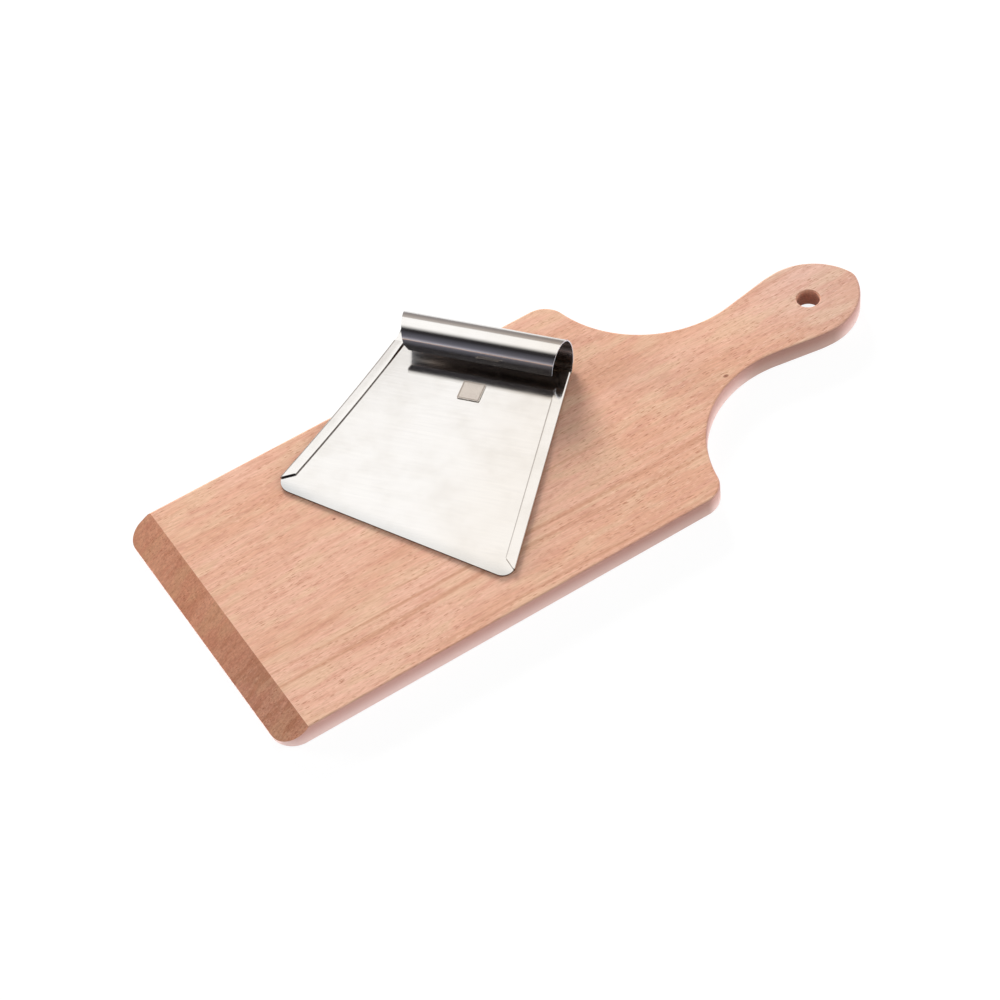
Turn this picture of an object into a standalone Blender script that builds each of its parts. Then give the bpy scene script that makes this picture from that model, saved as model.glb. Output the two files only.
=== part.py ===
"""A spaetzle board of beech with its stainless steel scraper lying on it.

The board is one plank: a flat blade with a bevelled end, rounded shoulders and a handle with a
hanging hole. The scraper is one sheet of steel: its sides are folded into hems and its top is
rolled into a tube that serves as the grip. Lengths are in metres and angles in degrees. The
origin is on the underside of the board, halfway along it, with +X towards the handle and +Z up.
"""

import math

import bmesh
import bpy

# Board
BOARD_WIDTH = 0.150
BOARD_THICKNESS = 0.010
EDGE_ROUND = 0.0020
SIDE_LENGTH = 0.224
NEAR_CORNER_RADIUS = 0.0115
FAR_CORNER_RADIUS = 0.0085
SHOULDER_RADIUS = 0.0125
SHOULDER_FLAT = 0.0027
NECK_WIDTH = 0.0373
NECK_RADIUS = 0.0576
GRIP_FLARE = 9.8
GRIP_LENGTH = 0.0218
SWELL_RADIUS = 0.0621
SWELL_TURN = 8.2
GRIP_END_RADIUS = 0.0307
GRIP_END_TURN = 74.0

# Bevel across the board's working end
BEVEL_ANGLE = 29.6
BEVEL_EDGE = 0.0022

# Hanging hole
HOLE_DIAMETER = 0.0114
HOLE_FROM_TIP = 0.0276
HOLE_RIM_ROUND = 0.0008

# Scraper sheet, seen from above with its roll at the top
SHEET_THICKNESS = 0.0007
LEFT_SIDE = 0.1010
LEFT_SPREAD = 0.0236
LEFT_BOW = 0.0010
LEFT_CORNER_REACH = 0.0074
RIGHT_SIDE = 0.1262
RIGHT_SPREAD = 0.0125
RIGHT_CORNER_REACH = 0.0054

# Rolled grip
ROLL_DIAMETER = 0.0185
ROLL_LENGTH = 0.0900
ROLL_MOUTH = 88.0
ROLL_TAPER_LEFT = 12.3
ROLL_TAPER_RIGHT = 8.2
LIP_LENGTH = 0.0031
LIP_CORNER_CUT = 0.0013

# Folded side hems
HEM_WIDTH = 0.0056
HEM_GAP = 0.0003
LEFT_HEM_STOP = 0.0053
LEFT_HEM_CUT = 0.0037
RIGHT_HEM_STOP = 0.0060
RIGHT_HEM_CUT = 0.0051
HEM_RELIEF = 0.0004

# Bare sticker on the sheet
LABEL_SIZE = 0.0112
LABEL_THICKNESS = 0.0003
LABEL_CORNER_RADIUS = 0.0006
LABEL_FROM_ROLL = 0.0231
LABEL_ASIDE = 0.0025

# Where the scraper lies: its roll's middle, from the board's bevelled end and its far side
SCRAPER_FROM_END = 0.1896
SCRAPER_FROM_SIDE = 0.0117
SCRAPER_TURN = -51.15
REST_GAP = 0.0003

# Fineness of the curves
ARC_STEP = 5.0
ROLL_STEP = 9.0
FOLD_STEPS = 6
BOW_STEPS = 6
EDGE_STEPS = 3
HOLE_STEPS = 32
CUTTER_MARGIN = 0.010
WELD_DISTANCE = 0.000002
SMOOTH_ANGLE = 30.0


class Outline:
    """A flat outline drawn by going forward and by turning, as a pen would."""

    def __init__(self, x, y, heading):
        self.points = [(x, y)]
        self.heading = math.radians(heading)

    def forward(self, length):
        x, y = self.points[-1]
        self.points.append((x + length * math.cos(self.heading), y + length * math.sin(self.heading)))

    def turn(self, radius, angle):
        """Goes round an arc; a positive angle turns left."""
        steps = max(2, math.ceil(abs(angle) / ARC_STEP))
        side = math.copysign(1.0, angle)
        x, y = self.points[-1]
        centre_x = x - side * radius * math.sin(self.heading)
        centre_y = y + side * radius * math.cos(self.heading)
        start = self.heading
        for step in range(1, steps + 1):
            self.heading = start + math.radians(angle) * step / steps
            self.points.append((
                centre_x + side * radius * math.sin(self.heading),
                centre_y - side * radius * math.cos(self.heading),
            ))


def clear_scene():
    for old in list(bpy.data.objects):
        bpy.data.objects.remove(old, do_unlink=True)


def new_collection(name):
    collection = bpy.data.collections.new(name)
    bpy.context.scene.collection.children.link(collection)
    return collection


def principled(name, colour, roughness, metallic):
    material = bpy.data.materials.new(name)
    material.use_nodes = True
    shader = material.node_tree.nodes["Principled BSDF"]
    shader.inputs["Base Color"].default_value = (*colour, 1.0)
    shader.inputs["Roughness"].default_value = roughness
    shader.inputs["Metallic"].default_value = metallic
    material.diffuse_color = (*colour, 1.0)
    return material


def add_object(name, data, collection, material=None):
    thing = bpy.data.objects.new(name, data)
    collection.objects.link(thing)
    if material:
        data.materials.append(material)
    return thing


def add_cutter(name, data, collection):
    cutter = add_object(name, data, collection)
    cutter.hide_render = True
    cutter.display_type = "WIRE"
    return cutter


def cut(target, cutter):
    boolean = target.modifiers.new(cutter.name, "BOOLEAN")
    boolean.operation = "DIFFERENCE"
    boolean.solver = "EXACT"
    boolean.object = cutter


def slab_curve(name, points, thickness, edge_round):
    """A filled outline with the given thickness and rounded edges, centred on z = 0."""
    curve = bpy.data.curves.new(name, "CURVE")
    curve.dimensions = "2D"
    curve.fill_mode = "BOTH"
    curve.extrude = thickness / 2 - edge_round
    curve.bevel_depth = edge_round
    curve.bevel_resolution = EDGE_STEPS
    curve.offset = -edge_round
    spline = curve.splines.new("POLY")
    spline.points.add(len(points) - 1)
    for point, (x, y) in zip(spline.points, points):
        point.co = (x, y, 0.0, 1.0)
    spline.use_cyclic_u = True
    return curve


def welded_mesh(name, curve):
    """Turns a filled curve into one closed mesh."""
    shape = bpy.data.objects.new(name, curve)
    bpy.context.scene.collection.objects.link(shape)
    depsgraph = bpy.context.evaluated_depsgraph_get()
    mesh = bpy.data.meshes.new_from_object(shape.evaluated_get(depsgraph))
    mesh.name = name
    bpy.data.objects.remove(shape, do_unlink=True)
    sheet = bmesh.new()
    sheet.from_mesh(mesh)
    bmesh.ops.remove_doubles(sheet, verts=sheet.verts, dist=WELD_DISTANCE)
    bmesh.ops.recalc_face_normals(sheet, faces=sheet.faces)
    sheet.to_mesh(mesh)
    sheet.free()
    return mesh


def shade(mesh):
    mesh.shade_smooth()
    mesh.set_sharp_from_angle(angle=math.radians(SMOOTH_ANGLE))


def shoulder_turn():
    """Angle through which the shoulder turns, so that it comes down to the neck's width."""
    drop = (BOARD_WIDTH - NECK_WIDTH) / 2
    radii = SHOULDER_RADIUS + NECK_RADIUS
    lead = math.atan2(SHOULDER_FLAT, radii)
    return math.degrees(math.acos((radii - drop) / math.hypot(radii, SHOULDER_FLAT)) - lead)


def half_board(corner_radius):
    """Points from the middle of the bevelled end round to the tip of the handle, on the +Y side."""
    pen = Outline(0.0, 0.0, 90.0)
    pen.forward(BOARD_WIDTH / 2 - corner_radius)
    pen.turn(corner_radius, -90.0)
    pen.forward(SIDE_LENGTH - corner_radius)
    pen.turn(SHOULDER_RADIUS, -shoulder_turn())
    pen.forward(SHOULDER_FLAT)
    pen.turn(NECK_RADIUS, shoulder_turn() + GRIP_FLARE)
    pen.forward(GRIP_LENGTH)
    pen.turn(SWELL_RADIUS, -SWELL_TURN)
    pen.turn(GRIP_END_RADIUS, -GRIP_END_TURN)
    tip_radius = pen.points[-1][1] / math.cos(pen.heading)
    pen.turn(tip_radius, -90.0 - math.degrees(pen.heading))
    return pen.points


def board_length():
    return half_board(FAR_CORNER_RADIUS)[-1][0]


def board_outline():
    far = half_board(FAR_CORNER_RADIUS)
    near = [(x, -y) for x, y in half_board(NEAR_CORNER_RADIUS)]
    shift = board_length() / 2
    return [(x - shift, y) for x, y in far[1:] + near[-2:0:-1]]


def bevel_cutter(collection):
    """A block whose lower face is the bevel's plane."""
    angle = math.radians(BEVEL_ANGLE)
    slope = (BOARD_THICKNESS - BEVEL_EDGE) / math.sin(angle)
    length = 2 * (slope + CUTTER_MARGIN)
    height = 2 * BOARD_THICKNESS
    bm = bmesh.new()
    bmesh.ops.create_cube(bm, size=1.0)
    bmesh.ops.scale(bm, vec=(length, BOARD_WIDTH + 2 * CUTTER_MARGIN, height), verts=bm.verts)
    bmesh.ops.translate(bm, vec=(slope / 2, 0.0, height / 2), verts=bm.verts)
    mesh = bpy.data.meshes.new("bevel_cutter")
    bm.to_mesh(mesh)
    bm.free()
    cutter = add_cutter("bevel_cutter", mesh, collection)
    cutter.location = (-board_length() / 2, 0.0, BEVEL_EDGE)
    cutter.rotation_euler = (0.0, -angle, 0.0)
    return cutter


def hole_cutter(collection):
    """A turned plug with flared ends, which leaves both rims of the hole rounded."""
    radius = HOLE_DIAMETER / 2
    flare = radius + HOLE_RIM_ROUND
    steps = EDGE_STEPS + 1
    rim = []
    for step in range(steps + 1):
        angle = math.radians(90.0) * step / steps
        rim.append((
            flare - HOLE_RIM_ROUND * math.sin(angle),
            BOARD_THICKNESS / 2 - HOLE_RIM_ROUND * (1 - math.cos(angle)),
        ))
    top = BOARD_THICKNESS / 2 + CUTTER_MARGIN
    upper = [(0.0, top), (flare, top)] + rim
    profile = upper + [(x, -z) for x, z in reversed(upper)]
    mesh = bpy.data.meshes.new("hole_cutter")
    mesh.from_pydata(
        [(x, 0.0, z) for x, z in profile],
        [(index, index + 1) for index in range(len(profile) - 1)],
        [],
    )
    cutter = add_cutter("hole_cutter", mesh, collection)
    cutter.location = (board_length() / 2 - HOLE_FROM_TIP, 0.0, BOARD_THICKNESS / 2)
    screw = cutter.modifiers.new("turn", "SCREW")
    screw.steps = HOLE_STEPS
    screw.render_steps = HOLE_STEPS
    screw.use_merge_vertices = True
    screw.merge_threshold = WELD_DISTANCE
    return cutter


def make_board(parts, cutters):
    curve = slab_curve("board", board_outline(), BOARD_THICKNESS, EDGE_ROUND)
    mesh = welded_mesh("board", curve)
    shade(mesh)
    wood = principled("beech", (0.73, 0.41, 0.27), 0.6, 0.0)
    board = add_object("board", mesh, parts, wood)
    board.location = (0.0, 0.0, BOARD_THICKNESS / 2)
    cut(board, bevel_cutter(cutters))
    cut(board, hole_cutter(cutters))
    return board


def side_edge(side, y):
    """X of the sheet's outer edge on the left (-1) or the right (+1), y below the roll."""
    length = LEFT_SIDE if side < 0 else RIGHT_SIDE
    spread = LEFT_SPREAD if side < 0 else RIGHT_SPREAD
    bow = LEFT_BOW if side < 0 else 0.0
    share = -y / length
    return side * (ROLL_LENGTH / 2 + spread * share - 4 * bow * share * (1 - share))


def fold_radius():
    """Radius of the fold's middle surface, from the sheet's thickness and the gap inside the hem."""
    return (SHEET_THICKNESS + HEM_GAP) / 2


def fold_line(side, y):
    """X at which the flat sheet ends and the fold begins."""
    return side_edge(side, y) - side * (fold_radius() + SHEET_THICKNESS / 2)


def hem_stations(side):
    """Places along the side at which the hem is drawn, from the roll down to its cut end."""
    start = -2 * HEM_RELIEF
    stop = LEFT_HEM_STOP - LEFT_SIDE if side < 0 else RIGHT_HEM_STOP - RIGHT_SIDE
    return [start + (stop - start) * step / BOW_STEPS for step in range(BOW_STEPS + 1)]


def sheet_side(side):
    """Edge of the flat sheet down one side, with a relief notch at each end of the hem."""
    stations = hem_stations(side)
    above = stations[0] + HEM_RELIEF
    below = stations[-1] - HEM_RELIEF
    points = [(side * ROLL_LENGTH / 2, 0.0), (side_edge(side, above), above), (fold_line(side, above), above)]
    return points + [(fold_line(side, y), y) for y in stations + [below]]


def blade_slope():
    """Angle of the blade's edge to the roll."""
    left_x = side_edge(-1, -LEFT_SIDE)
    right_x = side_edge(1, -RIGHT_SIDE)
    return math.degrees(math.atan2(LEFT_SIDE - RIGHT_SIDE, right_x - left_x))


def blade_corner(side, start):
    """Arc from the notch below a hem that runs into the blade's straight edge."""
    slope = math.radians(blade_slope())
    length = LEFT_SIDE if side < 0 else RIGHT_SIDE
    reach = LEFT_CORNER_REACH if side < 0 else RIGHT_CORNER_REACH
    across = start[0] - side_edge(side, -length)
    rise = (start[1] + length) * math.cos(slope) - across * math.sin(slope)
    radius = (rise ** 2 + reach ** 2) / (2 * rise)
    turn = 2 * math.degrees(math.atan2(rise, reach))
    along = blade_slope() if side < 0 else blade_slope() + 180.0
    pen = Outline(*start, along + side * turn)
    pen.turn(radius, -side * turn)
    return pen.points


def sheet_outline():
    left = sheet_side(-1)
    right = sheet_side(1)
    left_corner = blade_corner(-1, left[-1])
    right_corner = blade_corner(1, right[-1])
    return left[:-1] + left_corner + right_corner[::-1] + right[-2::-1]


def hem_rows(side):
    """Rows across the fold and the hem, from the sheet's edge over to the hem's inner edge."""
    cut_length = LEFT_HEM_CUT if side < 0 else RIGHT_HEM_CUT
    stations = hem_stations(side)
    rows = []
    for y in stations:
        edge = fold_line(side, y)
        row = []
        for step in range(FOLD_STEPS + 1):
            angle = math.pi * step / FOLD_STEPS
            row.append((edge + side * fold_radius() * math.sin(angle), y, fold_radius() * (1 - math.cos(angle))))
        inner_y = y + cut_length if y == stations[-1] else y
        inner_x = side_edge(side, inner_y) - side * HEM_WIDTH
        row.append((inner_x, inner_y, 2 * fold_radius()))
        rows.append(row)
    return rows


def roll_rows():
    """Rows round the roll and down its straight lip, whose ends draw in along the wound length."""
    radius = (ROLL_DIAMETER - SHEET_THICKNESS) / 2
    wrap = math.radians(360.0 - ROLL_MOUTH)
    steps = math.ceil((360.0 - ROLL_MOUTH) / ROLL_STEP)
    angles = [wrap * step / steps for step in range(steps + 1)]
    track = [(radius * angle, radius * math.sin(angle), radius * (1 - math.cos(angle))) for angle in angles]
    wound, y, z = track[-1]
    track.append((wound + LIP_LENGTH, y + LIP_LENGTH * math.cos(wrap), z + LIP_LENGTH * math.sin(wrap)))
    rows = []
    for wound, y, z in track:
        left = -ROLL_LENGTH / 2 + wound * math.tan(math.radians(ROLL_TAPER_LEFT))
        right = ROLL_LENGTH / 2 - wound * math.tan(math.radians(ROLL_TAPER_RIGHT))
        rows.append([(left, y, z), (right, y, z)])
    lip_end, y, z = rows[-1][0]
    rows[-1][0] = (lip_end + LIP_CORNER_CUT, y, z)
    return rows


def add_strip(bm, rows):
    """A surface of quads between each row of points and the next."""
    lines = [[bm.verts.new(point) for point in row] for row in rows]
    for first, second in zip(lines, lines[1:]):
        for index in range(len(first) - 1):
            bm.faces.new((first[index], first[index + 1], second[index + 1], second[index]))


def make_scraper(parts, holder):
    """The bent sheet: its middle surface is drawn, then given the sheet's thickness."""
    bm = bmesh.new()
    bm.faces.new([bm.verts.new((x, y, 0.0)) for x, y in sheet_outline()])
    add_strip(bm, hem_rows(-1))
    add_strip(bm, hem_rows(1))
    add_strip(bm, roll_rows())
    bmesh.ops.remove_doubles(bm, verts=bm.verts, dist=WELD_DISTANCE)
    bmesh.ops.recalc_face_normals(bm, faces=bm.faces)
    mesh = bpy.data.meshes.new("scraper")
    bm.to_mesh(mesh)
    bm.free()
    shade(mesh)
    steel = principled("stainless_steel", (0.80, 0.79, 0.77), 0.18, 1.0)
    scraper = add_object("scraper", mesh, parts, steel)
    scraper.parent = holder
    scraper.location = (0.0, 0.0, SHEET_THICKNESS / 2)
    thickness = scraper.modifiers.new("thickness", "SOLIDIFY")
    thickness.thickness = SHEET_THICKNESS
    thickness.offset = 0.0
    thickness.use_even_offset = True
    return scraper


def make_label(parts, holder):
    """The bare square sticker below the roll."""
    straight = LABEL_SIZE - 2 * LABEL_CORNER_RADIUS
    pen = Outline(-straight / 2, -LABEL_SIZE / 2, 0.0)
    for side in range(4):
        pen.forward(straight)
        pen.turn(LABEL_CORNER_RADIUS, 90.0)
    curve = slab_curve("label", pen.points[:-1], LABEL_THICKNESS, 0.0)
    mesh = welded_mesh("label", curve)
    sticker = principled("sticker", (0.73, 0.66, 0.59), 0.4, 0.0)
    label = add_object("label", mesh, parts, sticker)
    label.parent = holder
    height = SHEET_THICKNESS + REST_GAP + LABEL_THICKNESS / 2
    label.location = (LABEL_ASIDE, -LABEL_FROM_ROLL, height)
    return label


def make_holder(parts):
    """An empty at the middle of the roll's underside, which carries the scraper and its sticker."""
    holder = add_object("scraper_place", None, parts)
    holder.location = (
        SCRAPER_FROM_END - board_length() / 2,
        BOARD_WIDTH / 2 - SCRAPER_FROM_SIDE,
        BOARD_THICKNESS + REST_GAP,
    )
    holder.rotation_euler = (0.0, 0.0, math.radians(SCRAPER_TURN))
    return holder


def main():
    clear_scene()
    parts = new_collection("spaetzle_scraper")
    cutters = new_collection("cutters")
    make_board(parts, cutters)
    holder = make_holder(parts)
    make_scraper(parts, holder)
    make_label(parts, holder)


main()
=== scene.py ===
"""Looks of the beech spaetzle board and its steel scraper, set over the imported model.

Lengths are in metres and angles in degrees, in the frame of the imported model: the origin is on the
board's underside, +X points to the handle and +Z up.
"""

import math

import bmesh
import bpy
from mathutils import Matrix, Vector

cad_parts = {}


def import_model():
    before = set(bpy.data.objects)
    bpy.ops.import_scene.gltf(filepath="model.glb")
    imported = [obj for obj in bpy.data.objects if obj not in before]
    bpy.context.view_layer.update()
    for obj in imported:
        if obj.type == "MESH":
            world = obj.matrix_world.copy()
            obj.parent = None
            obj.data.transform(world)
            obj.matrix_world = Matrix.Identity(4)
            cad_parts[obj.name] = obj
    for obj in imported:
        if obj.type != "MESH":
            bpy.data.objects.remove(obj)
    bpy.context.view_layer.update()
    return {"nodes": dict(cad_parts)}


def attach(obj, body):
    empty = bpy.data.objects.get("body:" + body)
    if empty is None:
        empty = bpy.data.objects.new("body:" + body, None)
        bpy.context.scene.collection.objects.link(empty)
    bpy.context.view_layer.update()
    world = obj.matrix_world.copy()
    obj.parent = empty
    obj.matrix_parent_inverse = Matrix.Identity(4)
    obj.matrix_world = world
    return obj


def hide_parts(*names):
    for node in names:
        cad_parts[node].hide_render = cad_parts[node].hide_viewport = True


# Board, with the outline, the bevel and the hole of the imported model
BOARD_WIDTH = 0.150
BOARD_THICKNESS = 0.010
SIDE_LENGTH = 0.224
NEAR_CORNER_RADIUS = 0.0115
FAR_CORNER_RADIUS = 0.0085
SHOULDER_RADIUS = 0.0125
SHOULDER_FLAT = 0.0027
NECK_WIDTH = 0.0373
NECK_RADIUS = 0.0576
GRIP_FLARE = 9.8
GRIP_LENGTH = 0.0218
SWELL_RADIUS = 0.0621
SWELL_TURN = 8.2
GRIP_END_RADIUS = 0.0307
GRIP_END_TURN = 74.0
BEVEL_ANGLE = 29.6
BEVEL_EDGE = 0.0022
HOLE_DIAMETER = 0.0114
HOLE_FROM_TIP = 0.0276

# Scraper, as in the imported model, seen from above with its roll at the top
SHEET_THICKNESS = 0.0007
LEFT_SIDE = 0.1010
LEFT_SPREAD = 0.0236
LEFT_BOW = 0.0010
LEFT_CORNER_REACH = 0.0074
RIGHT_SIDE = 0.1262
RIGHT_SPREAD = 0.0125
RIGHT_CORNER_REACH = 0.0054
ROLL_DIAMETER = 0.0185
ROLL_LENGTH = 0.0900
ROLL_MOUTH = 88.0
ROLL_TAPER_LEFT = 12.3
ROLL_TAPER_RIGHT = 8.2
LIP_LENGTH = 0.0031
LIP_CORNER_CUT = 0.0013
HEM_WIDTH = 0.0056
HEM_GAP = 0.0003
LEFT_HEM_STOP = 0.0053
LEFT_HEM_CUT = 0.0037
RIGHT_HEM_STOP = 0.0060
RIGHT_HEM_CUT = 0.0051
HEM_RELIEF = 0.0004
SCRAPER_FROM_END = 0.1896
SCRAPER_FROM_SIDE = 0.0117
SCRAPER_TURN = -51.15
REST_GAP = 0.0003

# Label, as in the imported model
LABEL_SIZE = 0.0112
LABEL_FROM_ROLL = 0.0231
LABEL_ASIDE = 0.0025

# Looks only: finer rounds than the imported model's, the hems' bent edges and the width of the painted
# reflection strip along the blade
EDGE_ROUND = 0.0011
HOLE_RIM_ROUND = 0.0005
STEEL_EDGE_EASE = 0.00018
LEFT_HEM_BEND = 0.00014
RIGHT_HEM_BEND = 0.00010
HEM_BEND_FROM = 0.85
BLADE_PAINTED_REFLECTION_WIDTH = 0.0075

# Fineness
ARC_STEP = 2.0
ROLL_STEP = 4.0
LIP_STEPS = 2
EDGE_STEPS = 6
HOLE_STEPS = 72
FOLD_STEPS = 10
HEM_STATIONS = 16
HEM_SHARES = (0.06, 0.5, 0.85, 0.89, 0.93, 0.965, 1.0)
CORNER_STEPS = 10
SHEET_COLUMNS = 40
EASE_STEPS = 3
EASED_ANGLE = 50.0
SHARP_ANGLE = 24.0
CUTTER_MARGIN = 0.010
WELD_DISTANCE = 0.000002

# Beech, in linear colour
WOOD_PALE = (0.780, 0.460, 0.335)
WOOD_DEEP = (0.695, 0.375, 0.250)
WOOD_PINK = (0.665, 0.340, 0.240)
WOOD_BAND = (0.545, 0.262, 0.158)
WOOD_FLECK = (0.400, 0.150, 0.080)
WOOD_LIGHT = (0.880, 0.590, 0.440)
WOOD_STRAW = (0.740, 0.470, 0.315)
WOOD_KNOT = (0.270, 0.100, 0.060)
# the walls' colours are painted light: shade under the top edge, glow of the lit table at the foot
WOOD_SIDE_PAINTED_SHADE = (0.580, 0.325, 0.290)
WOOD_SIDE_PAINTED_GLOW = (0.965, 0.730, 0.695)

# Tints that multiply the beech's colour
FIBRE_DARK_TINT = (0.87, 0.85, 0.83)
FIBRE_PALE_TINT = (1.08, 1.09, 1.10)
END_TINT = (0.735, 0.585, 0.500)
END_DARKER = 0.78
END_NEAR_TINT = (0.90, 0.92, 0.96)
TIP_TINT = (0.92, 0.99, 1.09)
BORE_TINT = (0.92, 0.80, 0.76)
# painted shade on the walls towards the handle
SIDE_PAINTED_SHADE_TINT = (0.62, 0.58, 0.54)
SIDE_FIBRE_TINT = (0.90, 0.86, 0.84)
# painted shade on the far walls, against the lamps from behind
FAR_SIDE_PAINTED_SHADE = (0.58, 0.54, 0.52)
FAR_SIDE_WAY = (0.45, 0.89, 0.0)

# Figure of the beech, one layer over the other: its grain to a metre each way, the noise's detail and
# roughness, the noise between which the layer comes in, its strongest share and its colour
WOOD_LAYERS = (
    ((9.0, 55.0, 55.0), 3.0, 0.55, 0.34, 0.66, 1.00, WOOD_DEEP),
    ((50.0, 300.0, 300.0), 3.0, 0.60, 0.46, 0.66, 0.80, WOOD_PINK),
    ((30.0, 110.0, 110.0), 2.0, 0.60, 0.46, 0.64, 0.75, WOOD_STRAW),
)
BAND_GRAIN = (3.0, 230.0, 230.0)
FIBRE_GRAIN = (110.0, 1200.0, 1200.0)
CROWD_GRAIN = (20.0, 60.0, 60.0)
SWAY_GRAIN = (6.0, 16.0, 16.0)
SWAY = 0.008
END_GRAIN = (500.0, 900.0, 900.0)
END_STRETCH = (1.6, 1.0, 1.0)

# Pores and pale streaks of the beech: how many to a metre each way, their reach and their depth
DARK_MARKS = (
    ((160.0, 1150.0, 1150.0), 0.30, 0.95),
    ((230.0, 1500.0, 1500.0), 0.33, 0.85),
    ((330.0, 2200.0, 2200.0), 0.33, 0.65),
)
LIGHT_MARKS = (
    ((190.0, 1350.0, 1350.0), 0.34, 0.60),
    ((280.0, 2000.0, 2000.0), 0.34, 0.50),
)

# Knots of the beech: place along and across the board, and radius; they are longer along the grain
KNOTS = ((0.0934, -0.0172, 0.0013), (-0.1006, 0.0194, 0.0008))
KNOT_SQUEEZE = 0.7

# Steel, in linear colour, then the tints that multiply it
STEEL_CLEAN = (0.815, 0.800, 0.785)
STEEL_SMUDGED = (0.780, 0.760, 0.735)
# dull rims with painted shade on the sheet's sheared edges
STEEL_RIM_DULL_AND_SHADE = (0.150, 0.120, 0.105)
# painted highlight on the roll's right rim
ROLL_RIM_PAINTED_HIGHLIGHT = (0.700, 0.780, 0.900)
LINES_TINT = (0.955, 0.955, 0.96)
WARM_TINT = (0.965, 0.935, 0.900)
# painted reflection along the blade's edge
BLADE_PAINTED_REFLECTION_TINT = (0.66, 0.69, 0.71)
# painted shade and reflection inside the roll
ROLL_INSIDE_PAINTED_SHADE = (0.56, 0.48, 0.43)
ROLL_LEFT_PAINTED_SHADE = (0.36, 0.37, 0.39)
LINES_GRAIN = (40.0, 5200.0, 5200.0)
SMUDGE_GRAIN = (45.0, 45.0, 45.0)
WAVE_GRAIN = (16.0, 22.0, 22.0)

# Label, in linear colour
LABEL_PALE = (0.750, 0.680, 0.615)
LABEL_DEEP = (0.705, 0.635, 0.575)
LABEL_BORDER = (0.360, 0.310, 0.270)
LABEL_EDGE = (0.820, 0.760, 0.700)
PAPER_TINT = (0.95, 0.95, 0.95)
PAPER_GRAIN = (2400.0, 2400.0, 2400.0)
BLOTCH_GRAIN = (260.0, 260.0, 260.0)

# Camera, as the photograph was taken
CAMERA_PLACE = (-0.378624, -0.721794, 0.935367)
CAMERA_RIGHT = (0.83993893, -0.53454501, -0.09361741)
CAMERA_DOWN = (-0.46204815, -0.61393844, -0.63999305)
CAMERA_FORWARD = (0.28462977, 0.58081083, -0.76265633)
CAMERA_LENS = 95.473
CAMERA_SENSOR = 36.0

# Studio seen in the steel: its walls in shares of full brightness by elevation
SHELL_RADIUS = 2.6
SHELL_STRENGTH = 1.25
STUDIO_BACK = 64.0
FRONT_WALL = (
    (-90, 0.50, 0.49, 0.56), (0, 0.42, 0.41, 0.47), (5, 0.26, 0.25, 0.295), (13, 0.125, 0.125, 0.150),
    (25, 0.090, 0.090, 0.108), (37, 0.048, 0.048, 0.057), (44, 0.024, 0.022, 0.025),
    (90, 0.024, 0.022, 0.022),
)
BACK_WALL = (
    (-90, 0.60, 0.57, 0.55), (-8, 0.42, 0.39, 0.37), (3, 0.28, 0.26, 0.25), (12, 0.27, 0.245, 0.235),
    (22, 0.31, 0.28, 0.265), (32, 0.40, 0.36, 0.335), (42, 0.47, 0.43, 0.405), (60, 0.60, 0.56, 0.53),
)
SOFT_BOX = (1.0, 0.992, 0.978)

# Floor, world and lamps; each lamp has a name, an azimuth from +X, an elevation, a distance, a size and watts
FLOOR_RADIUS = 9.0
FLOOR_DROP = 0.0002
FLOOR_GLOW = 0.90
FLOOR_SHADOW = 0.15
FLOOR_GREY = 0.85
WORLD_LIGHT = 0.22
LAMPS = (
    ("overhead", 80.0, 60.0, 2.4, (1.65, 1.65), 4.0),
    ("behind", 72.0, 17.0, 2.4, (0.8, 0.6), 92.0),
    ("far_left", 135.0, 9.0, 2.4, (0.9, 0.5), 50.0),
    ("side", -25.0, 20.0, 3.0, (1.4, 1.2), 50.0),
    ("left", 195.0, 12.0, 2.4, (0.8, 0.8), 14.0),
    ("front", -80.0, 9.0, 2.4, (1.6, 0.5), 10.0),
)


class Outline:
    """A flat outline drawn by going forward and by turning, as a pen would."""

    def __init__(self, x, y, heading):
        self.points = [(x, y)]
        self.heading = math.radians(heading)

    def forward(self, length):
        x, y = self.points[-1]
        self.points.append((x + length * math.cos(self.heading), y + length * math.sin(self.heading)))

    def turn(self, radius, angle, steps=None):
        """Goes round an arc; a positive angle turns left."""
        steps = steps or max(2, math.ceil(abs(angle) / ARC_STEP))
        side = math.copysign(1.0, angle)
        x, y = self.points[-1]
        centre_x = x - side * radius * math.sin(self.heading)
        centre_y = y + side * radius * math.cos(self.heading)
        start = self.heading
        for step in range(1, steps + 1):
            self.heading = start + math.radians(angle) * step / steps
            self.points.append((
                centre_x + side * radius * math.sin(self.heading),
                centre_y - side * radius * math.cos(self.heading),
            ))


# ---------------------------------------------------------------- node materials


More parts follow.
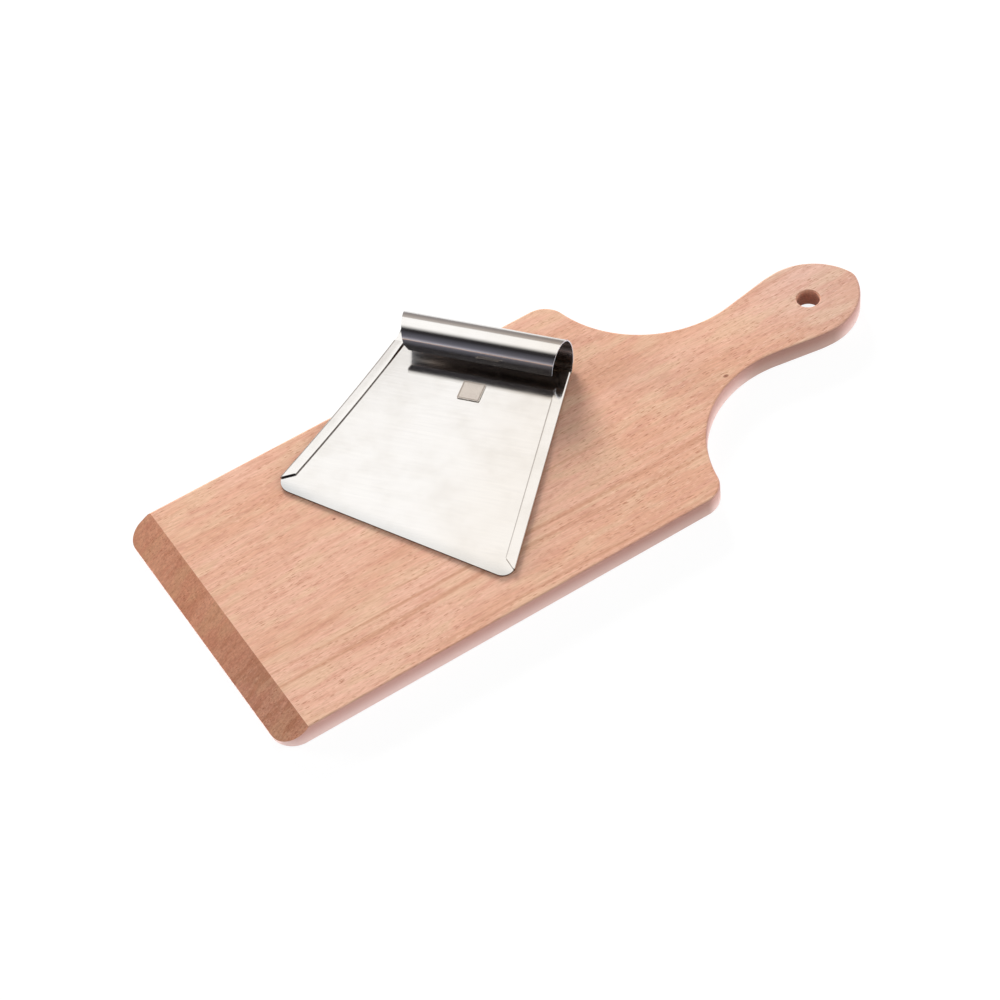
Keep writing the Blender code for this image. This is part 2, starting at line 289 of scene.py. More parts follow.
class Nodes:
    """Short calls that add and join the nodes of one node tree."""

    def __init__(self, tree):
        self.tree = tree

    def plug(self, socket, value):
        if isinstance(value, bpy.types.NodeSocket):
            self.tree.links.new(value, socket)
        elif value is not None:
            socket.default_value = value

    def add(self, kind, inputs=None, **settings):
        node = self.tree.nodes.new(kind)
        for name, value in settings.items():
            setattr(node, name, value)
        for name, value in (inputs or {}).items():
            self.plug(node.inputs[name], value)
        return node

    def math(self, operation, first, second=None, third=None):
        node = self.add("ShaderNodeMath", operation=operation)
        for index, value in enumerate((first, second, third)):
            self.plug(node.inputs[index], value)
        return node.outputs[0]

    def times(self, first, second):
        return self.math("MULTIPLY", first, second)

    def vector(self, operation, first, second=None):
        """Result of a vector operation, which is a number for distances, lengths and dot products."""
        node = self.add("ShaderNodeVectorMath", operation=operation)
        self.plug(node.inputs[0], first)
        self.plug(node.inputs[1], second)
        return node.outputs["Value" if operation in ("DISTANCE", "DOT_PRODUCT", "LENGTH") else "Vector"]

    def parts(self, vector):
        """The outputs X, Y and Z of a vector."""
        return self.add("ShaderNodeSeparateXYZ", {"Vector": vector}).outputs

    def placed(self, matrix):
        """Object coordinates in the frame that the matrix places on the board."""
        inverse = matrix.inverted()
        node = self.add("ShaderNodeMapping", {
            "Vector": self.add("ShaderNodeTexCoord").outputs["Object"],
            "Location": inverse.to_translation(), "Rotation": inverse.to_euler(),
        }, vector_type="POINT")
        return node.outputs["Vector"]

    def noise(self, place, grain, detail=2.0, roughness=0.5):
        node = self.add("ShaderNodeTexNoise", {
            "Vector": self.vector("MULTIPLY", place, grain), "Scale": 1.0,
            "Detail": detail, "Roughness": roughness,
        })
        return node.outputs["Fac"]

    def span(self, value, low, high, to_low=0.0, to_high=1.0):
        """Value from low to high, eased, becomes to_low to to_high."""
        node = self.add("ShaderNodeMapRange", {
            "Value": value, "From Min": low, "From Max": high, "To Min": to_low, "To Max": to_high,
        }, interpolation_type="SMOOTHSTEP")
        return node.outputs["Result"]

    def mix(self, share, first, second, blend="MIX"):
        node = self.add("ShaderNodeMix", data_type="RGBA", blend_type=blend)
        for index, value in ((0, share), (6, first), (7, second)):
            if isinstance(value, tuple):
                value = (*value, 1.0)
            self.plug(node.inputs[index], value)
        return node.outputs[2]

    def tint(self, share, colour, factor):
        return self.mix(share, colour, factor, "MULTIPLY")

    def bump(self, height, distance, strength, normal=None):
        node = self.add("ShaderNodeBump", {
            "Height": height, "Distance": distance, "Strength": strength, "Normal": normal,
        })
        return node.outputs["Normal"]


def new_material(name):
    material = bpy.data.materials.new(name)
    material.use_nodes = True
    nodes = Nodes(material.node_tree)
    shader = material.node_tree.nodes["Principled BSDF"]
    return material, nodes, shader


def bare_material(name):
    """A material without a shader, its nodes, and the socket that takes its surface."""
    material, nodes, shader = new_material(name)
    material.node_tree.nodes.remove(shader)
    return material, nodes, material.node_tree.nodes["Material Output"].inputs["Surface"]


def beech_material():
    """Steamed beech: soft growth bands, fine fibres, dark pore flecks, and darker end grain."""
    material, n, shader = new_material("beech_wood")
    where = n.add("ShaderNodeTexCoord")
    normal, spot = where.outputs["Normal"], where.outputs["Object"]
    facing, own = n.parts(normal), n.parts(spot)
    end_grain = n.times(n.span(facing["X"], -0.25, -0.42), n.span(facing["Z"], 0.30, 0.60))

    # on the sloping end the fibres run down the slope
    sloped = n.add("ShaderNodeMapping", {
        "Vector": spot, "Rotation": (0.0, math.radians(BEVEL_ANGLE), 0.0), "Scale": END_STRETCH,
    }, vector_type="POINT")
    choice = n.add("ShaderNodeMix", data_type="VECTOR")
    for index, value in ((0, end_grain), (4, spot), (5, sloped.outputs["Vector"])):
        n.plug(choice.inputs[index], value)
    place = choice.outputs[1]

    # the grain wanders a little off the board's length
    drift = n.noise(place, SWAY_GRAIN, detail=1.0)
    sway = n.add("ShaderNodeCombineXYZ", {"Y": n.times(n.math("SUBTRACT", drift, 0.5), SWAY)})
    grain = n.vector("ADD", place, sway.outputs[0])
    near = n.span(n.parts(place)["Y"], 0.015, -0.045)

    colour = WOOD_PALE
    for scale, detail, roughness, low, high, share, tone in WOOD_LAYERS:
        figure = n.span(n.noise(grain, scale, detail, roughness), low, high)
        colour = n.mix(n.times(figure, share), colour, tone)

    # dark growth bands, stronger on the near side
    band = n.span(n.noise(grain, BAND_GRAIN), 0.53, 0.66)
    band = n.times(band, n.math("MULTIPLY_ADD", near, 0.60, 0.35))
    colour = n.mix(n.times(band, 0.70), colour, WOOD_BAND)

    fibre = n.noise(grain, FIBRE_GRAIN, detail=4.0, roughness=0.7)
    colour = n.tint(1.0, colour, n.mix(n.span(fibre, 0.28, 0.72), FIBRE_DARK_TINT, FIBRE_PALE_TINT))

    # pale streaks, then the dark pores
    crowd = n.span(n.noise(grain, CROWD_GRAIN), 0.30, 0.65)
    density = n.math("MULTIPLY_ADD", crowd, 0.50, n.math("MULTIPLY_ADD", near, 0.10, 0.40))
    for tone, marks in ((WOOD_LIGHT, LIGHT_MARKS), (WOOD_FLECK, DARK_MARKS)):
        fleck = None
        for scale, reach, depth in marks:
            cell = n.add("ShaderNodeTexVoronoi", {"Vector": n.vector("MULTIPLY", grain, scale), "Scale": 1.0})
            strength = n.add("ShaderNodeSeparateColor", {"Color": cell.outputs["Color"]}).outputs[0]
            mark = n.times(n.span(cell.outputs["Distance"], reach, reach * 0.40), depth)
            mark = n.times(mark, n.span(strength, 0.30, 0.90))
            fleck = mark if fleck is None else n.math("MAXIMUM", fleck, mark)
        fleck = n.times(fleck, density)
        colour = n.mix(fleck, colour, tone)

    squeezed = n.vector("MULTIPLY", spot, (KNOT_SQUEEZE, 1.0, 0.0))
    for x, y, radius in KNOTS:
        away = n.vector("DISTANCE", squeezed, (KNOT_SQUEEZE * x, y, 0.0))
        colour = n.mix(n.span(away, radius, radius * 0.35, 0.0, 0.9), colour, WOOD_KNOT)

    rough_cut = n.span(n.noise(place, END_GRAIN, detail=3.0, roughness=0.7), 0.30, 0.70)
    end = n.mix(rough_cut, END_TINT, tuple(END_DARKER * value for value in END_TINT))
    colour = n.tint(end_grain, colour, n.tint(near, end, END_NEAR_TINT))

    # the handle's tip is greyer, and the hole's wall is browner
    colour = n.tint(n.span(own["X"], 0.100, 0.170), colour, TIP_TINT)
    side = n.span(n.math("ABSOLUTE", facing["Z"]), 0.94, 0.66)
    side = n.times(side, n.math("SUBTRACT", 1.0, end_grain))
    hole = (board_length() / 2 - HOLE_FROM_TIP, 0.0, 0.0)
    to_hole = n.vector("DISTANCE", n.vector("MULTIPLY", spot, (1.0, 1.0, 0.0)), hole)
    rim = HOLE_DIAMETER / 2 + HOLE_RIM_ROUND
    bore = n.span(to_hole, rim, HOLE_DIAMETER / 2)
    colour = n.tint(n.times(bore, side), colour, BORE_TINT)

    # painted light on the walls: painted shade makes them mauve under the top edge, and a painted glow of the
    # lit table makes them pale towards the table
    side = n.times(side, n.span(to_hole, rim, rim + HOLE_RIM_ROUND))
    wall = n.mix(n.span(own["Z"], 0.0090, 0.0002), WOOD_SIDE_PAINTED_SHADE, WOOD_SIDE_PAINTED_GLOW)
    # painted shade: the walls are darker towards the handle and where they face away from +X
    shade = n.times(n.span(own["X"], -0.120, 0.110), n.span(facing["X"], 0.30, -0.05))
    wall = n.tint(shade, wall, SIDE_PAINTED_SHADE_TINT)
    wall = n.tint(n.span(fibre, 0.3, 0.7, 0.0, 0.25), wall, SIDE_FIBRE_TINT)

    # on the board's far side and tip the walls stay plain wood, darkened below the top with painted shade
    # that offsets the strong lamps from behind
    backward = n.span(n.vector("DOT_PRODUCT", normal, FAR_SIDE_WAY), 0.15, 0.55)
    wall = n.mix(backward, wall, n.tint(1.0, colour, FAR_SIDE_PAINTED_SHADE))
    colour = n.mix(n.times(side, 0.88), colour, wall)

    n.plug(shader.inputs["Base Color"], colour)
    n.plug(shader.inputs["Roughness"], n.span(fibre, 0.2, 0.8, 0.50, 0.64))
    relief = n.math("SUBTRACT", n.times(fibre, 0.35), fleck)
    n.plug(shader.inputs["Normal"], n.bump(relief, 0.00008, 0.5))
    shader.inputs["IOR"].default_value = 1.45
    return material


def steel_material(place_matrix):
    """Rolled stainless steel: faint lines along the roll, small smudges and very slight waves."""
    material, n, shader = new_material("steel_sheet")
    normal = n.add("ShaderNodeTexCoord").outputs["Normal"]
    place = n.placed(place_matrix)
    own = n.parts(place)

    lines = n.noise(place, LINES_GRAIN, detail=3.0, roughness=0.6)
    smudge = n.noise(place, SMUDGE_GRAIN, detail=4.0, roughness=0.6)
    colour = n.mix(n.span(smudge, 0.35, 0.75), STEEL_CLEAN, STEEL_SMUDGED)
    colour = n.tint(n.span(lines, 0.2, 0.8), colour, LINES_TINT)
    colour = n.tint(n.span(own["X"], -0.010, 0.045, 0.0, 0.9), colour, WARM_TINT)

    # painted reflection: a grey strip along the blade's edge, stronger towards its corners, darkens the sheet
    # as a bent edge reflecting the darker studio would
    slope = math.radians(blade_slope())
    square = n.vector("DOT_PRODUCT", place, (-math.sin(slope), math.cos(slope), 0.0))
    from_blade = n.math("ADD", square, blade_offset())
    corner = n.span(n.math("ABSOLUTE", own["X"]), 0.040, 0.068, 0.45, 1.0)
    colour = n.tint(n.times(n.span(from_blade, BLADE_PAINTED_REFLECTION_WIDTH, 0.0), corner), colour, BLADE_PAINTED_REFLECTION_TINT)

    # the sheared rims of the sheet are dull, and darker still with painted shade that deepens the contact
    # line under the blade
    upright = n.span(n.math("ABSOLUTE", n.parts(normal)["Z"]), 0.80, 0.45, 0.0, 0.9)
    colour = n.mix(n.times(upright, n.span(own["Z"], 0.0012, 0.0009)), colour, STEEL_RIM_DULL_AND_SHADE)

    # the inside of the roll is rougher, and darkened and browned with painted shade and painted reflection,
    # greyer and darker towards its left end
    across = n.vector("MULTIPLY", place, (0.0, 1.0, 1.0))
    from_axis = n.vector("DISTANCE", across, (0.0, 0.0, ROLL_DIAMETER / 2))
    middle = (ROLL_DIAMETER - SHEET_THICKNESS) / 2
    inside = n.span(from_axis, middle + SHEET_THICKNESS / 4, middle - SHEET_THICKNESS / 4)
    inside = n.times(inside, n.span(own["Z"], 0.0019, 0.0027))
    inside_painted_shade = n.mix(n.span(own["X"], -0.024, -0.040), ROLL_INSIDE_PAINTED_SHADE, ROLL_LEFT_PAINTED_SHADE)
    colour = n.tint(inside, colour, inside_painted_shade)
    rough = n.math("ADD", n.span(lines, 0.2, 0.8, 0.09, 0.15), n.span(smudge, 0.4, 0.8, 0.0, 0.05))
    n.plug(shader.inputs["Roughness"], n.math("MULTIPLY_ADD", inside, 0.12, rough))

    # painted highlight: the roll's right rim gets a pale bluish, less metallic colour
    outward = n.vector("DOT_PRODUCT", normal, place_matrix.to_3x3() @ Vector((1.0, 0.0, 0.0)))
    rim = n.times(n.span(outward, 0.50, 0.80), n.span(own["Z"], 0.0016, 0.0020))
    n.plug(shader.inputs["Base Color"], n.mix(rim, colour, ROLL_RIM_PAINTED_HIGHLIGHT))
    n.plug(shader.inputs["Metallic"], n.math("MULTIPLY_ADD", rim, -0.75, 1.0))

    ripple = n.bump(n.noise(place, WAVE_GRAIN, detail=1.0), 0.0004, 0.35)
    n.plug(shader.inputs["Normal"], n.bump(lines, 0.000004, 0.5, ripple))
    return material


def label_material(place_matrix):
    """A small foil sticker, bare inside a thin darker border."""
    material, n, shader = new_material("label_foil")
    place = n.placed(place_matrix @ Matrix.Translation((LABEL_ASIDE, -LABEL_FROM_ROLL, 0.0)))
    own = n.parts(place)
    reach = n.math("MAXIMUM", n.math("ABSOLUTE", own["X"]), n.math("ABSOLUTE", own["Y"]))
    border = n.span(reach, LABEL_SIZE * 0.420, LABEL_SIZE * 0.435, 0.0, 0.80)
    border = n.times(border, n.span(reach, LABEL_SIZE * 0.492, LABEL_SIZE * 0.477))
    upward = n.parts(n.add("ShaderNodeTexCoord").outputs["Normal"])["Z"]
    paper = n.noise(place, PAPER_GRAIN, detail=3.0)
    blotch = n.noise(place, BLOTCH_GRAIN)
    colour = n.mix(n.span(blotch, 0.3, 0.7), LABEL_PALE, LABEL_DEEP)
    colour = n.tint(n.span(paper, 0.3, 0.7), colour, PAPER_TINT)
    colour = n.mix(border, colour, LABEL_BORDER)
    colour = n.mix(n.span(upward, 0.8, 0.4), colour, LABEL_EDGE)
    n.plug(shader.inputs["Base Color"], colour)
    n.plug(shader.inputs["Metallic"], n.span(upward, 0.4, 0.8, 0.0, 0.9))
    n.plug(shader.inputs["Roughness"], n.span(paper, 0.3, 0.7, 0.22, 0.32))
    n.plug(shader.inputs["Normal"], n.bump(paper, 0.00002, 0.4))
    return material


# ---------------------------------------------------------------- board


def shoulder_turn():
    """Angle through which the shoulder turns, so that it comes down to the neck's width."""
    drop = (BOARD_WIDTH - NECK_WIDTH) / 2
    radii = SHOULDER_RADIUS + NECK_RADIUS
    lead = math.atan2(SHOULDER_FLAT, radii)
    return math.degrees(math.acos((radii - drop) / math.hypot(radii, SHOULDER_FLAT)) - lead)


def half_board(corner_radius):
    """Points from the middle of the bevelled end round to the tip of the handle, on the +Y side."""
    pen = Outline(0.0, 0.0, 90.0)
    pen.forward(BOARD_WIDTH / 2 - corner_radius)
    pen.turn(corner_radius, -90.0)
    pen.forward(SIDE_LENGTH - corner_radius)
    pen.turn(SHOULDER_RADIUS, -shoulder_turn())
    pen.forward(SHOULDER_FLAT)
    pen.turn(NECK_RADIUS, shoulder_turn() + GRIP_FLARE)
    pen.forward(GRIP_LENGTH)
    pen.turn(SWELL_RADIUS, -SWELL_TURN)
    pen.turn(GRIP_END_RADIUS, -GRIP_END_TURN)
    tip_radius = pen.points[-1][1] / math.cos(pen.heading)
    pen.turn(tip_radius, -90.0 - math.degrees(pen.heading))
    return pen.points


def board_length():
    return half_board(FAR_CORNER_RADIUS)[-1][0]


def board_outline():
    far = half_board(FAR_CORNER_RADIUS)
    near = [(x, -y) for x, y in half_board(NEAR_CORNER_RADIUS)]
    shift = board_length() / 2
    return [(x - shift, y) for x, y in far[1:] + near[-2:0:-1]]


def add_object(name, data, material=None):
    thing = bpy.data.objects.new(name, data)
    bpy.context.scene.collection.objects.link(thing)
    if material:
        data.materials.append(material)
    return thing


def finished(bm, name):
    """A mesh of what was built in bm, which is freed."""
    mesh = bpy.data.meshes.new(name)
    bm.to_mesh(mesh)
    bm.free()
    return mesh


def applied(thing, name):
    """The object's mesh with its modifiers applied; the object itself goes."""
    depsgraph = bpy.context.evaluated_depsgraph_get()
    mesh = bpy.data.meshes.new_from_object(thing.evaluated_get(depsgraph))
    mesh.name = name
    bpy.data.objects.remove(thing, do_unlink=True)
    return mesh


def bevel_cutter():
    """A block whose lower face is the bevel's plane."""
    angle = math.radians(BEVEL_ANGLE)
    slope = (BOARD_THICKNESS - BEVEL_EDGE) / math.sin(angle)
    bm = bmesh.new()
    bmesh.ops.create_cube(bm, size=1.0)
    bmesh.ops.scale(
        bm, vec=(2 * (slope + CUTTER_MARGIN), BOARD_WIDTH + 2 * CUTTER_MARGIN, 2 * BOARD_THICKNESS),
        verts=bm.verts,
    )
    bmesh.ops.translate(bm, vec=(slope / 2, 0.0, BOARD_THICKNESS), verts=bm.verts)
    bmesh.ops.transform(bm, verts=bm.verts, matrix=(
        Matrix.Translation((-board_length() / 2, 0.0, BEVEL_EDGE)) @ Matrix.Rotation(-angle, 4, "Y")
    ))
    return add_object("bevel_cutter", finished(bm, "bevel_cutter"))


def hole_cutter():
    """A turned plug with flared ends, which leaves both rims of the hole rounded."""
    radius = HOLE_DIAMETER / 2
    flare = radius + HOLE_RIM_ROUND
    rim = []
    for step in range(EDGE_STEPS + 1):
        angle = math.radians(90.0) * step / EDGE_STEPS
        rim.append((
            flare - HOLE_RIM_ROUND * math.sin(angle),
            BOARD_THICKNESS / 2 - HOLE_RIM_ROUND * (1 - math.cos(angle)),
        ))
    top = BOARD_THICKNESS / 2 + CUTTER_MARGIN
    upper = [(0.0, top), (flare, top)] + rim
    profile = upper + [(x, -z) for x, z in reversed(upper)]
    mesh = bpy.data.meshes.new("hole_cutter")
    mesh.from_pydata(
        [(x, 0.0, z) for x, z in profile],
        [(index, index + 1) for index in range(len(profile) - 1)],
        [],
    )
    cutter = add_object("hole_cutter", mesh)
    cutter.location = (board_length() / 2 - HOLE_FROM_TIP, 0.0, BOARD_THICKNESS / 2)
    screw = cutter.modifiers.new("turn", "SCREW")
    screw.steps = HOLE_STEPS
    screw.render_steps = HOLE_STEPS
    screw.use_merge_vertices = True
    screw.merge_threshold = WELD_DISTANCE
    return cutter


def make_board():
    """The plank in one smooth mesh, with its bevel, hole and rounded edges."""
    curve = bpy.data.curves.new("plank", "CURVE")
    curve.dimensions = "2D"
    curve.fill_mode = "BOTH"
    curve.extrude = BOARD_THICKNESS / 2 - EDGE_ROUND
    curve.bevel_depth = EDGE_ROUND
    curve.bevel_resolution = EDGE_STEPS
    curve.offset = -EDGE_ROUND
    points = board_outline()
    spline = curve.splines.new("POLY")
    spline.points.add(len(points) - 1)
    for point, (x, y) in zip(spline.points, points):
        point.co = (x, y, 0.0, 1.0)
    spline.use_cyclic_u = True
    mesh = applied(add_object("plank", curve), "plank")
    bm = bmesh.new()
    bm.from_mesh(mesh)
    bmesh.ops.translate(bm, vec=(0.0, 0.0, BOARD_THICKNESS / 2), verts=bm.verts)
    bmesh.ops.remove_doubles(bm, verts=bm.verts, dist=WELD_DISTANCE)
    bmesh.ops.recalc_face_normals(bm, faces=bm.faces)
    bm.to_mesh(mesh)
    bm.free()
    rough = add_object("plank", mesh)
    cutters = [bevel_cutter(), hole_cutter()]
    for cutter in cutters:
        boolean = rough.modifiers.new(cutter.name, "BOOLEAN")
        boolean.operation = "DIFFERENCE"
        boolean.solver = "EXACT"
        boolean.object = cutter
    mesh = applied(rough, "board_plank")
    for cutter in cutters:
        bpy.data.objects.remove(cutter, do_unlink=True)
    mesh.shade_smooth()
    mesh.set_sharp_from_angle(angle=math.radians(SHARP_ANGLE))
    mesh.materials.clear()
    board = add_object("board_plank", mesh, beech_material())
    normals = board.modifiers.new("flat faces lead", "WEIGHTED_NORMAL")
    normals.keep_sharp = True
    return board


# ---------------------------------------------------------------- scraper


def side_edge(side, y):
    """X of the sheet's outer edge on the left (-1) or the right (+1), y below the roll."""
    length = LEFT_SIDE if side < 0 else RIGHT_SIDE
    spread = LEFT_SPREAD if side < 0 else RIGHT_SPREAD
    bow = LEFT_BOW if side < 0 else 0.0
    share = -y / length
    return side * (ROLL_LENGTH / 2 + spread * share - 4 * bow * share * (1 - share))


def fold_radius():
    """Radius of the fold's middle surface, from the sheet's thickness and the gap inside the hem."""
    return (SHEET_THICKNESS + HEM_GAP) / 2


def fold_line(side, y):
    """X at which the flat sheet ends and the fold begins."""
    return side_edge(side, y) - side * (fold_radius() + SHEET_THICKNESS / 2)


def hem_stations(side):
    """Places along the side at which the hem is drawn, from the roll down to its cut end."""
    start = -2 * HEM_RELIEF
    stop = LEFT_HEM_STOP - LEFT_SIDE if side < 0 else RIGHT_HEM_STOP - RIGHT_SIDE
    return [start + (stop - start) * step / HEM_STATIONS for step in range(HEM_STATIONS + 1)]


def blade_slope():
    """Angle of the blade's edge to the roll."""
    left_x = side_edge(-1, -LEFT_SIDE)
    right_x = side_edge(1, -RIGHT_SIDE)
    return math.degrees(math.atan2(LEFT_SIDE - RIGHT_SIDE, right_x - left_x))


def blade_corner(side, start):
    """Arc from the notch below a hem that runs into the blade's straight edge."""
    slope = math.radians(blade_slope())
    length = LEFT_SIDE if side < 0 else RIGHT_SIDE
    reach = LEFT_CORNER_REACH if side < 0 else RIGHT_CORNER_REACH
    across = start[0] - side_edge(side, -length)
    rise = (start[1] + length) * math.cos(slope) - across * math.sin(slope)
    radius = (rise ** 2 + reach ** 2) / (2 * rise)
    turn = 2 * math.degrees(math.atan2(rise, reach))
    along = blade_slope() if side < 0 else blade_slope() + 180.0
    pen = Outline(*start, along + side * turn)
    pen.turn(radius, -side * turn, CORNER_STEPS)
    return pen.points


def hem_rows(side):
    """Rows across the fold and the hem, from the sheet's edge over to the hem's inner edge."""
    cut_length = LEFT_HEM_CUT if side < 0 else RIGHT_HEM_CUT
    bend = LEFT_HEM_BEND if side < 0 else RIGHT_HEM_BEND
    stations = hem_stations(side)
    rows = []
    for y in stations:
        edge = fold_line(side, y)
        row = []
        for step in range(FOLD_STEPS + 1):
            angle = math.pi * step / FOLD_STEPS
            x = edge + side * fold_radius() * math.sin(angle)
            row.append((x, y, fold_radius() * (1 - math.cos(angle))))
        inner_y = y + cut_length if y == stations[-1] else y
        inner_x = side_edge(side, inner_y) - side * HEM_WIDTH
        for share in HEM_SHARES:
            sink = bend * (max(0.0, share - HEM_BEND_FROM) / (1 - HEM_BEND_FROM)) ** 2
            row.append((edge + (inner_x - edge) * share, y + (inner_y - y) * share, 2 * fold_radius() - sink))
        rows.append(row)
    return rows


def roll_rows(columns):
    """Rows round the roll and down its straight lip, whose ends draw in along the wound length."""
    radius = (ROLL_DIAMETER - SHEET_THICKNESS) / 2
    wrap = math.radians(360.0 - ROLL_MOUTH)
    steps = math.ceil((360.0 - ROLL_MOUTH) / ROLL_STEP)
    angles = [wrap * step / steps for step in range(steps + 1)]
    track = [(radius * angle, radius * math.sin(angle), radius * (1 - math.cos(angle))) for angle in angles]
    wound, y, z = track[-1]
    for step in range(1, LIP_STEPS + 1):
        down = LIP_LENGTH * step / LIP_STEPS
        track.append((wound + down, y + down * math.cos(wrap), z + down * math.sin(wrap)))
    rows = []
    for wound, y, z in track:
        left = -ROLL_LENGTH / 2 + wound * math.tan(math.radians(ROLL_TAPER_LEFT))
        left += LIP_CORNER_CUT * max(0.0, wound - radius * wrap) / LIP_LENGTH
        right = ROLL_LENGTH / 2 - wound * math.tan(math.radians(ROLL_TAPER_RIGHT))
        rows.append([(left + (right - left) * (x / ROLL_LENGTH + 0.5), y, z) for x in columns])
    return rows


def blade_offset():
    """Distance of the blade's straight edge from the middle of the roll's underside."""
    slope = math.radians(blade_slope())
    return side_edge(1, -RIGHT_SIDE) * math.sin(slope) + RIGHT_SIDE * math.cos(slope)


def row_between(left, right):
    """Evenly spaced points of the flat sheet from its left edge to its right edge."""
    shares = [column / SHEET_COLUMNS for column in range(SHEET_COLUMNS + 1)]
    return [
        (left[0] + (right[0] - left[0]) * share, left[1] + (right[1] - left[1]) * share, 0.0)
        for share in shares
    ]


def top_rows():
    """The two rows above the hems, where the sheet is wider by the folds."""
    y = -HEM_RELIEF
    middle = row_between((fold_line(-1, y), y), (fold_line(1, y), y))
    lower = [(side_edge(-1, y), y, 0.0)] + middle + [(side_edge(1, y), y, 0.0)]
    inner = [(x, 0.0, 0.0) for x, _, _ in middle]
    return [[(-ROLL_LENGTH / 2, 0.0, 0.0)] + inner + [(ROLL_LENGTH / 2, 0.0, 0.0)], lower]


def sheet_rows():
    """Rows across the flat sheet between its folds, down to the blade's edge."""
    sides = []
    for side in (-1, 1):
        stations = [-HEM_RELIEF] + hem_stations(side)
        edge = [(fold_line(side, y), y) for y in stations + [stations[-1] - HEM_RELIEF]]
        sides.append(edge[:-1] + blade_corner(side, edge[-1]))
    return [row_between(left, right) for left, right in zip(*sides)]


def add_strip(bm, rows):
    """A surface of quads between each row of points and the next."""
    lines = [[bm.verts.new(point) for point in row] for row in rows]
    for first, second in zip(lines, lines[1:]):
        for index in range(len(first) - 1):
            bm.faces.new((first[index], first[index + 1], second[index + 1], second[index]))


def scraper_place():
    """Where the roll's underside has its middle, and how the scraper is turned on the board."""
    place = Vector((
        SCRAPER_FROM_END - board_length() / 2,
        BOARD_WIDTH / 2 - SCRAPER_FROM_SIDE,
        BOARD_THICKNESS + REST_GAP,
    ))
    return Matrix.Translation(place) @ Matrix.Rotation(math.radians(SCRAPER_TURN), 4, "Z")


def make_scraper(place):
    """The bent sheet: its middle surface is drawn, then given the sheet's thickness."""
    bm = bmesh.new()
    top = top_rows()
    add_strip(bm, top)
    add_strip(bm, sheet_rows())
    add_strip(bm, hem_rows(-1))
    add_strip(bm, hem_rows(1))
    add_strip(bm, roll_rows([x for x, _, _ in top[0]]))
    bmesh.ops.remove_doubles(bm, verts=bm.verts, dist=WELD_DISTANCE)
    bmesh.ops.recalc_face_normals(bm, faces=bm.faces)
    bmesh.ops.transform(
        bm, matrix=place @ Matrix.Translation((0.0, 0.0, SHEET_THICKNESS / 2)), verts=bm.verts,
    )
    mesh = finished(bm, "scraper_sheet")
    mesh.shade_smooth()
    scraper = add_object("scraper_sheet", mesh, steel_material(place))
    thickness = scraper.modifiers.new("thickness", "SOLIDIFY")
    thickness.thickness = SHEET_THICKNESS
    thickness.offset = 0.0
    thickness.use_even_offset = True
    ease = scraper.modifiers.new("eased edges", "BEVEL")
    ease.width = STEEL_EDGE_EASE
    ease.segments = EASE_STEPS
    ease.limit_method = "ANGLE"
    ease.angle_limit = math.radians(EASED_ANGLE)
    ease.harden_normals = True
    return scraper


# ---------------------------------------------------------------- studio


def background_rays(n):
    """1 for rays that show the background: from the camera, or by reflection or through glass."""
    path = n.add("ShaderNodeLightPath")
    shown = n.math("MAXIMUM", path.outputs["Is Camera Ray"], path.outputs["Is Glossy Ray"])
    return n.math("MAXIMUM", shown, path.outputs["Is Transmission Ray"])


def make_floor():
    """A white floor. Metal shows it too, and it fades there with distance as a lit table does."""
    material, n, surface = bare_material("floor_white")
    away = n.vector("LENGTH", n.add("ShaderNodeTexCoord").outputs["Object"])
    fade = n.span(away, 0.10, 0.60, 0.0, 0.75)
    fade = n.times(fade, n.add("ShaderNodeLightPath").outputs["Is Glossy Ray"])
    glow = n.add("ShaderNodeEmission", {
        "Color": (1.0, 1.0, 1.0, 1.0), "Strength": n.times(n.math("SUBTRACT", 1.0, fade), FLOOR_GLOW),
    })
    shadowed, plain = [
        n.add("ShaderNodeBsdfDiffuse", {"Color": (level, level, level, 1.0)})
        for level in (FLOOR_SHADOW, FLOOR_GREY)
    ]
    shown = n.add("ShaderNodeAddShader")
    n.plug(shown.inputs[0], shadowed.outputs[0])
    n.plug(shown.inputs[1], glow.outputs[0])
    choose = n.add("ShaderNodeMixShader", {"Fac": background_rays(n)})
    n.plug(choose.inputs[1], plain.outputs[0])
    n.plug(choose.inputs[2], shown.outputs[0])
    n.plug(surface, choose.outputs[0])

    bm = bmesh.new()
    bmesh.ops.create_circle(bm, cap_ends=True, segments=96, radius=FLOOR_RADIUS)
    floor = add_object("floor", finished(bm, "floor"), material)
    floor.location = (0.0, 0.0, -FLOOR_DROP)


def make_world():
    world = bpy.data.worlds.new("studio")
    bpy.context.scene.world = world
    world.use_nodes = True
    n = Nodes(world.node_tree)
    background = world.node_tree.nodes["Background"]
    background.inputs["Color"].default_value = (1.0, 1.0, 1.0, 1.0)
    strength = n.math("MULTIPLY_ADD", background_rays(n), 1.0 - WORLD_LIGHT, WORLD_LIGHT)
    n.plug(background.inputs["Strength"], strength)


def make_lamp(name, azimuth, elevation, distance, size, watts):
    """A soft lamp that looks at the object from the given direction; metal and camera don't show it."""
    lamp = bpy.data.lights.new(name, "AREA")
    lamp.shape = "RECTANGLE"
    lamp.size, lamp.size_y = size
    lamp.energy = watts
    thing = add_object(name, lamp)
    around, up = math.radians(azimuth), math.radians(elevation)
    towards = Vector((math.cos(around) * math.cos(up), math.sin(around) * math.cos(up), math.sin(up)))
    thing.location = towards * distance
    thing.rotation_mode = "QUATERNION"
    thing.rotation_quaternion = towards.to_track_quat("Z", "Y")
    thing.visible_glossy = False
    thing.visible_camera = False


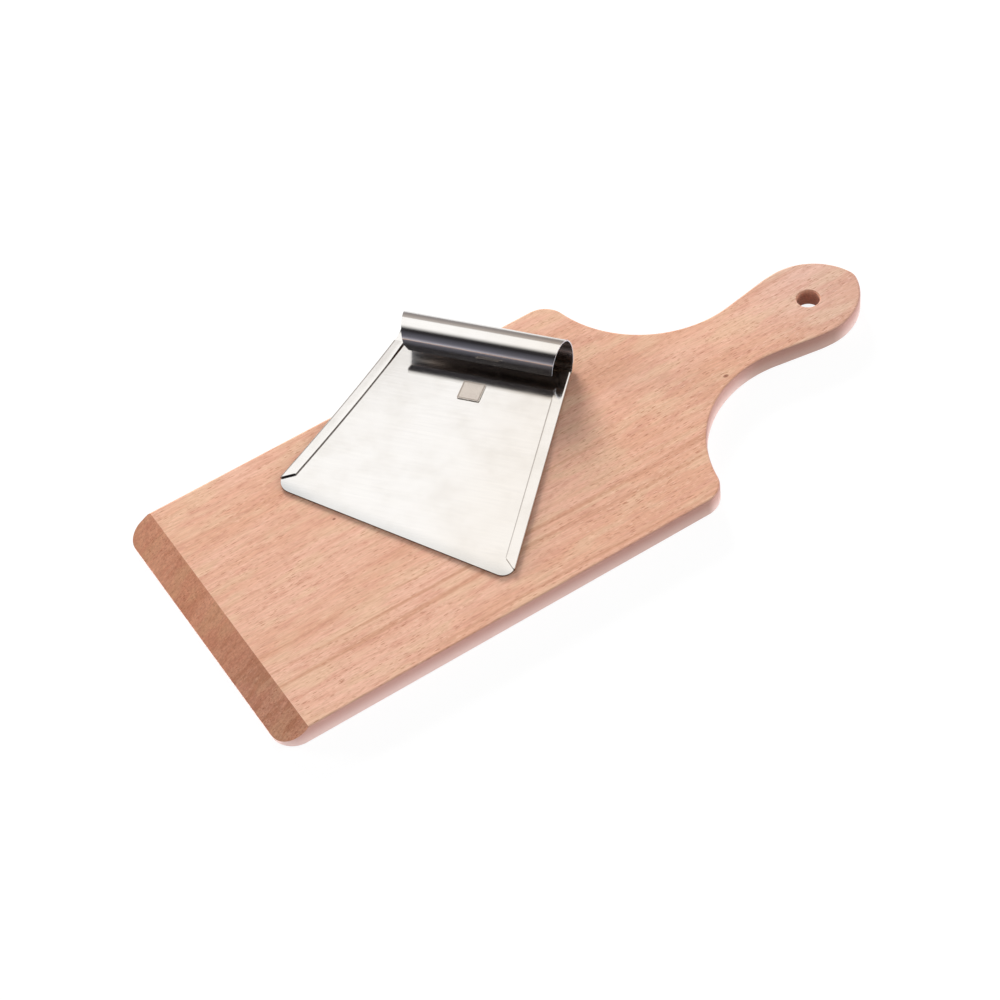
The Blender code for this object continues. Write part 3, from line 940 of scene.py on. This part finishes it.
def wall_ramp(n, height, stops):
    """Colour by elevation, given as (degrees, red, green, blue) from the floor up."""
    node = n.add("ShaderNodeValToRGB", {"Fac": height})
    ramp = node.color_ramp
    while len(ramp.elements) < len(stops):
        ramp.elements.new(1.0)
    for element, stop in zip(ramp.elements, stops):
        element.position = (math.sin(math.radians(stop[0])) + 1) / 2
    for element, stop in zip(ramp.elements, stops):
        element.color = (*stop[1:], 1.0)
    return node.outputs["Color"]


def make_shell():
    """The studio that the steel shows: dark in front, grey behind and to the right, a soft box overhead."""
    material, n, surface = bare_material("studio_walls")
    way = n.vector("NORMALIZE", n.add("ShaderNodeTexCoord").outputs["Object"])
    turned = n.add("ShaderNodeMapping", {
        "Vector": way, "Rotation": (0.0, 0.0, math.radians(90.0 - STUDIO_BACK)),
    }, vector_type="POINT")
    own = n.parts(turned.outputs["Vector"])
    height = n.math("MULTIPLY_ADD", own["Z"], 0.5, 0.5)
    front = wall_ramp(n, height, FRONT_WALL)
    back = wall_ramp(n, height, BACK_WALL)
    grey = n.math("MAXIMUM", n.span(own["Y"], -0.25, 0.25), n.span(own["X"], 0.30, 0.65))
    walls = n.mix(grey, front, back)

    # the soft box, by how far back and how far aside a ray leans from straight up
    above = n.math("MAXIMUM", own["Z"], 0.02)
    depth = n.math("DIVIDE", own["Y"], above)
    width = n.math("ABSOLUTE", n.math("DIVIDE", own["X"], above))
    lit = n.times(n.span(depth, -0.42, 0.10), n.span(depth, 1.06, 0.97))
    lit = n.times(lit, n.span(width, 2.4, 1.6))
    glow = n.add("ShaderNodeEmission", {"Color": n.mix(lit, walls, SOFT_BOX), "Strength": SHELL_STRENGTH})
    n.plug(surface, glow.outputs[0])

    bm = bmesh.new()
    bmesh.ops.create_uvsphere(bm, u_segments=64, v_segments=32, radius=SHELL_RADIUS)
    shell = add_object("studio_walls", finished(bm, "studio_walls"), material)
    for kind in ("camera", "diffuse", "transmission", "volume_scatter", "shadow"):
        setattr(shell, "visible_" + kind, False)


def make_camera():
    data = bpy.data.cameras.new("camera")
    data.sensor_width = CAMERA_SENSOR
    data.lens = CAMERA_LENS
    camera = add_object("camera", data)
    axes = Matrix((CAMERA_RIGHT, -Vector(CAMERA_DOWN), -Vector(CAMERA_FORWARD))).transposed().to_4x4()
    camera.matrix_world = Matrix.Translation(CAMERA_PLACE) @ axes
    bpy.context.scene.camera = camera


# ---------------------------------------------------------------- scene


def main():
    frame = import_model()
    bpy.context.scene.view_settings.view_transform = "Standard"
    make_camera()
    make_world()
    make_floor()
    make_shell()
    for lamp in LAMPS:
        make_lamp(*lamp)

    place = scraper_place()
    board = make_board()
    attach(board, "board")
    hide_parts("board")
    scraper = make_scraper(place)
    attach(scraper, "scraper")
    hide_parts("scraper")
    label = frame["nodes"]["label"]
    sticker = label_material(place)
    for index in range(len(label.material_slots)):
        label.material_slots[index].material = sticker


main()
